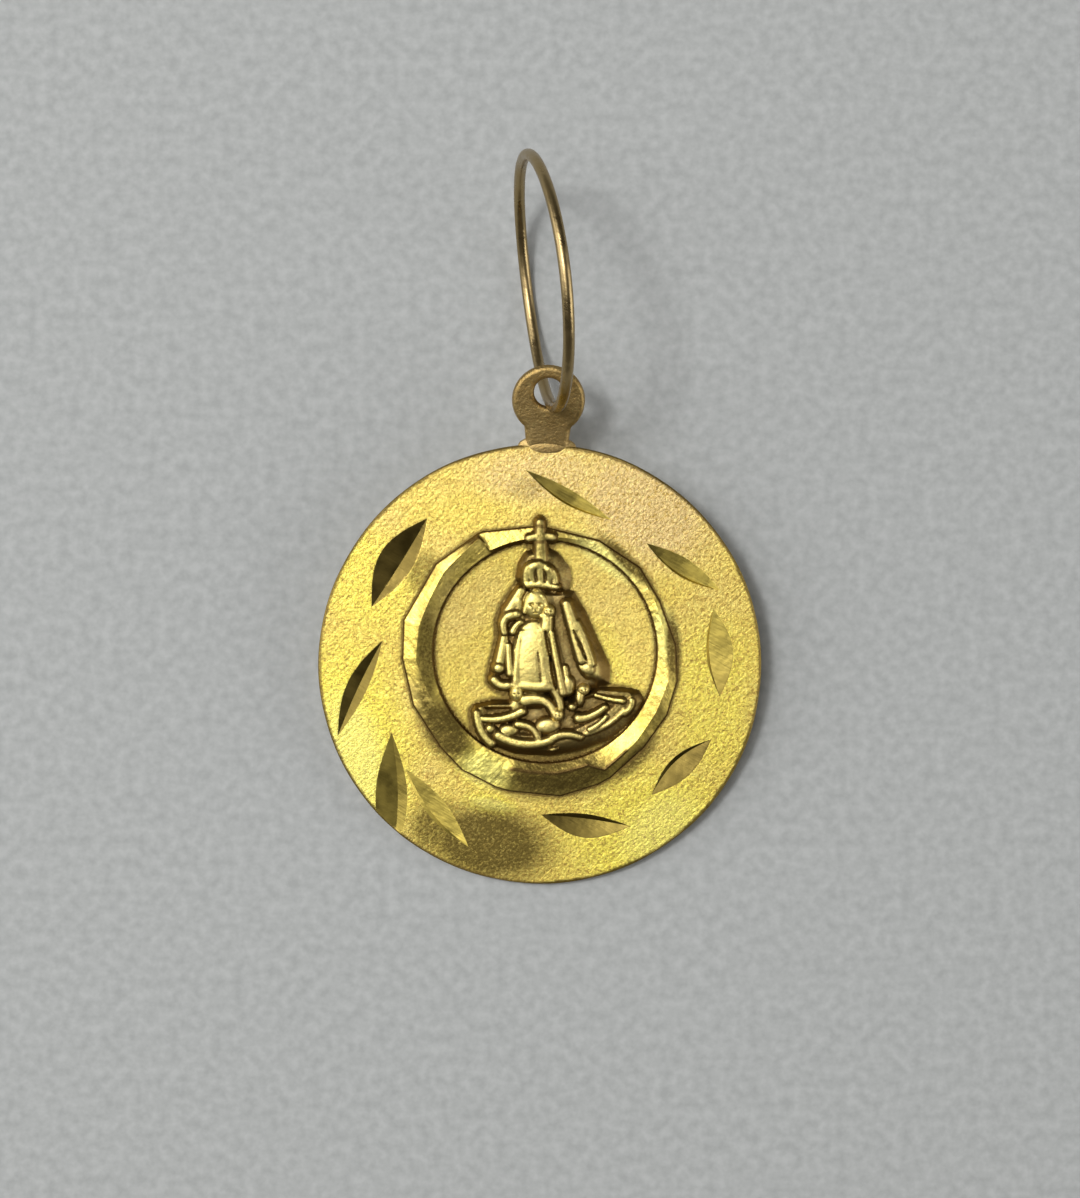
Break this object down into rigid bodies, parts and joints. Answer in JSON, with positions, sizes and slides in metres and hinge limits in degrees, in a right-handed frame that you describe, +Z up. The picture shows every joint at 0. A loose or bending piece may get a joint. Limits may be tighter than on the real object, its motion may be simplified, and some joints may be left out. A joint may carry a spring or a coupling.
{
  "type": "religious medal pendant",
  "caption": "Round gold religious medal with a bright-cut ridge, leaf-shaped border cuts and a raised devotional figure on a boat, on a round wire jump ring through its soldered ear.",
  "frame": {"origin": "middle of the underside of the whole part's bounding box, on the surface that it lies on", "axes": "+Z up from the surface, +Y from the disc towards the ear and the ring, +X to the right of someone who looks at the medal's face from above"},
  "size_m": [0.02, 0.0324, 0.0113],
  "materials": {
    "satin_gold": "sandblasted satin yellow gold, with polished cuts",
    "ring_gold": "drawn and polished yellow gold wire"
  },
  "bodies": {
    "root": {"medal": "satin_gold", "jump_ring": "ring_gold"}
  },
  "joints": []
}
